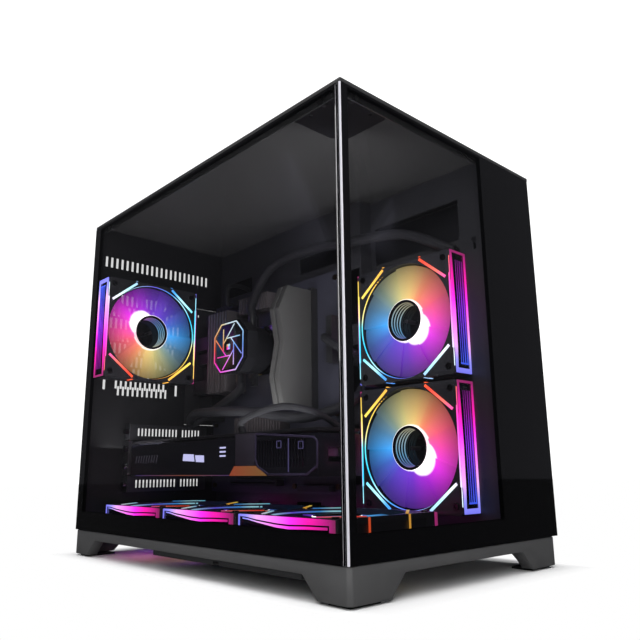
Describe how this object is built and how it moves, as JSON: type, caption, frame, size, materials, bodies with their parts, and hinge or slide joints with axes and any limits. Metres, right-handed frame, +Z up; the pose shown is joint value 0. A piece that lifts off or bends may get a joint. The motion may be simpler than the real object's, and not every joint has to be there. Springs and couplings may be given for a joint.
{
  "type": "desktop computer tower",
  "caption": "Two-chamber desktop computer tower with glass front and side, lit spinning case fans, liquid cooler, graphics card, power supply and removable panels and filters.",
  "frame": {"origin": "on the floor under the middle of the tower's footprint", "axes": "+Z up, -Y towards the front glass, -X towards the side glass"},
  "size_m": [0.277, 0.434, 0.387],
  "materials": {
    "base_plastic": "fine moulded texture",
    "foot_rubber": "matte",
    "black_steel": "fine powder coat",
    "roof_steel": "satin, slightly glossy underneath",
    "tinted_glass": "polished, black printed border",
    "filter_mesh": "fine mesh in a moulded frame",
    "stud_plastic": "satin",
    "psu_steel": "wrinkle coat",
    "wire_chrome": "polished",
    "black_plastic": "satin",
    "drive_case": "machined and cast",
    "circuit_board": "solder mask with printed tracks",
    "screw_steel": "nickel plated",
    "port_steel": "bright stamped shells",
    "heatsink_alloy": "anodised grey",
    "cpu_lid": "nickel plated",
    "pump_plastic": "polished",
    "pump_light": "black mirror with light lines",
    "memory_alloy": "sand blasted grey",
    "gpu_plastic": "satin, ribbed",
    "gpu_alloy": "anodised",
    "fin_alloy": "stamped fins",
    "bracket_steel": "nickel plated",
    "fan_frame_plastic": "satin, with clear light bars",
    "fan_rotor_light": "frosted and lit from the hub",
    "fan_rotor_black": "satin",
    "radiator_black": "satin coat",
    "tube_rubber": "fine woven sleeve",
    "cable_sleeve": "bundled wires",
    "button_plastic": "satin"
  },
  "bodies": {
    "chassis": {"base_plinth": "base_plastic", "rubber_feet": "foot_rubber", "floor_pan": "black_steel", "rear_panel": "black_steel", "motherboard_tray": "black_steel", "radiator_bracket": "black_steel", "roof_panel": "roof_steel", "corner_bracket": "black_steel", "front_bracket": "black_steel", "psu_body": "psu_steel", "psu_grille": "wire_chrome", "mains_inlet": "black_plastic", "drive_cage": "black_steel", "hard_drive": "drive_case", "solid_state_drive": "drive_case", "motherboard": "circuit_board", "standoffs": "screw_steel", "rear_ports": "port_steel", "board_heatsinks": "heatsink_alloy", "cpu_socket": "cpu_lid", "pump_head": "pump_plastic", "pump_cap": "pump_light", "ram_slots": "black_plastic", "ram_modules": "memory_alloy", "board_connectors": "black_plastic", "pcie_slots": "black_plastic", "slot_covers": "black_steel", "gpu_shroud": "gpu_plastic", "gpu_backplate": "gpu_alloy", "gpu_heatsink": "fin_alloy", "gpu_board": "circuit_board", "gpu_bracket": "bracket_steel", "radiator": "radiator_black", "coolant_tubes": "tube_rubber", "power_cables": "cable_sleeve", "rear_fan_frame": "fan_frame_plastic", "side_fan_frames": "fan_frame_plastic", "bottom_fan_frames": "fan_frame_plastic", "top_ports": "port_steel", "thumb_screws": "screw_steel"},
    "side_glass": {"side_glass": "tinted_glass", "side_glass_studs": "stud_plastic"},
    "front_glass": {"front_glass": "tinted_glass", "front_glass_studs": "stud_plastic"},
    "right_panel": {"right_panel": "black_steel"},
    "top_dust_filter": {"top_dust_filter": "filter_mesh"},
    "bottom_dust_filter": {"bottom_dust_filter": "filter_mesh"},
    "psu_fan": {"psu_fan_rotor": "fan_rotor_black"},
    "psu_switch": {"psu_switch": "black_plastic"},
    "gpu_fan_1": {"gpu_fan_rotor_1": "fan_rotor_black"},
    "gpu_fan_2": {"gpu_fan_rotor_2": "fan_rotor_black"},
    "gpu_fan_3": {"gpu_fan_rotor_3": "fan_rotor_black"},
    "rear_fan": {"rear_fan_rotor": "fan_rotor_light"},
    "side_fan_1": {"side_fan_rotor_1": "fan_rotor_light"},
    "side_fan_2": {"side_fan_rotor_2": "fan_rotor_light"},
    "bottom_fan_1": {"bottom_fan_rotor_1": "fan_rotor_light"},
    "bottom_fan_2": {"bottom_fan_rotor_2": "fan_rotor_light"},
    "bottom_fan_3": {"bottom_fan_rotor_3": "fan_rotor_light"},
    "power_button": {"power_button": "button_plastic"},
    "reset_button": {"reset_button": "button_plastic"}
  },
  "joints": [
    {"name": "side_glass_pull", "type": "slide", "parent": "chassis", "child": "side_glass", "axis": [-1, 0, 0], "range_m": [0, 0.2]},
    {"name": "front_glass_pull", "type": "slide", "parent": "chassis", "child": "front_glass", "axis": [0, -1, 0], "range_m": [0, 0.2]},
    {"name": "right_panel_pull", "type": "slide", "parent": "chassis", "child": "right_panel", "axis": [1, 0, 0], "range_m": [0, 0.15]},
    {"name": "top_filter_lift", "type": "slide", "parent": "chassis", "child": "top_dust_filter", "axis": [0, 0, 1], "range_m": [0, 0.1]},
    {"name": "bottom_filter_slide", "type": "slide", "parent": "chassis", "child": "bottom_dust_filter", "axis": [-1, 0, 0], "range_m": [0, 0.16]},
    {"name": "power_button_press", "type": "slide", "parent": "chassis", "child": "power_button", "axis": [0, 0, -1], "range_m": [0, 0.0015], "stiffness_N_per_m": 600, "springref_m": -0.002},
    {"name": "reset_button_press", "type": "slide", "parent": "chassis", "child": "reset_button", "axis": [0, 0, -1], "range_m": [0, 0.0015], "stiffness_N_per_m": 600, "springref_m": -0.002},
    {"name": "psu_switch_rock", "type": "hinge", "parent": "chassis", "child": "psu_switch", "pos_m": [0.1055, 0.202, 0.1435], "axis": [1, 0, 0], "range_deg": [-16, 0]},
    {"name": "rear_fan_spin", "type": "hinge", "parent": "chassis", "child": "rear_fan", "pos_m": [-0.074, 0.193, 0.257], "axis": [0, 1, 0], "continuous": true},
    {"name": "side_fan_1_spin", "type": "hinge", "parent": "chassis", "child": "side_fan_1", "pos_m": [0.046, -0.127, 0.109], "axis": [1, 0, 0], "continuous": true},
    {"name": "side_fan_2_spin", "type": "hinge", "parent": "chassis", "child": "side_fan_2", "pos_m": [0.046, -0.127, 0.234], "axis": [1, 0, 0], "continuous": true},
    {"name": "bottom_fan_1_spin", "type": "hinge", "parent": "chassis", "child": "bottom_fan_1", "pos_m": [-0.054, 0.135, 0.042], "axis": [0, 0, 1], "continuous": true},
    {"name": "bottom_fan_2_spin", "type": "hinge", "parent": "chassis", "child": "bottom_fan_2", "pos_m": [-0.054, 0.008, 0.042], "axis": [0, 0, 1], "continuous": true},
    {"name": "bottom_fan_3_spin", "type": "hinge", "parent": "chassis", "child": "bottom_fan_3", "pos_m": [-0.054, -0.119, 0.042], "axis": [0, 0, 1], "continuous": true},
    {"name": "gpu_fan_1_spin", "type": "hinge", "parent": "chassis", "child": "gpu_fan_1", "pos_m": [-0.0296, 0.149, 0.09124], "axis": [0, 0, 1], "continuous": true},
    {"name": "gpu_fan_2_spin", "type": "hinge", "parent": "chassis", "child": "gpu_fan_2", "pos_m": [-0.0296, 0.04525, 0.09124], "axis": [0, 0, 1], "continuous": true},
    {"name": "gpu_fan_3_spin", "type": "hinge", "parent": "chassis", "child": "gpu_fan_3", "pos_m": [-0.0296, -0.0585, 0.09124], "axis": [0, 0, 1], "continuous": true},
    {"name": "psu_fan_spin", "type": "hinge", "parent": "chassis", "child": "psu_fan", "pos_m": [0.1145, 0.135, 0.108], "axis": [1, 0, 0], "continuous": true}
  ]
}
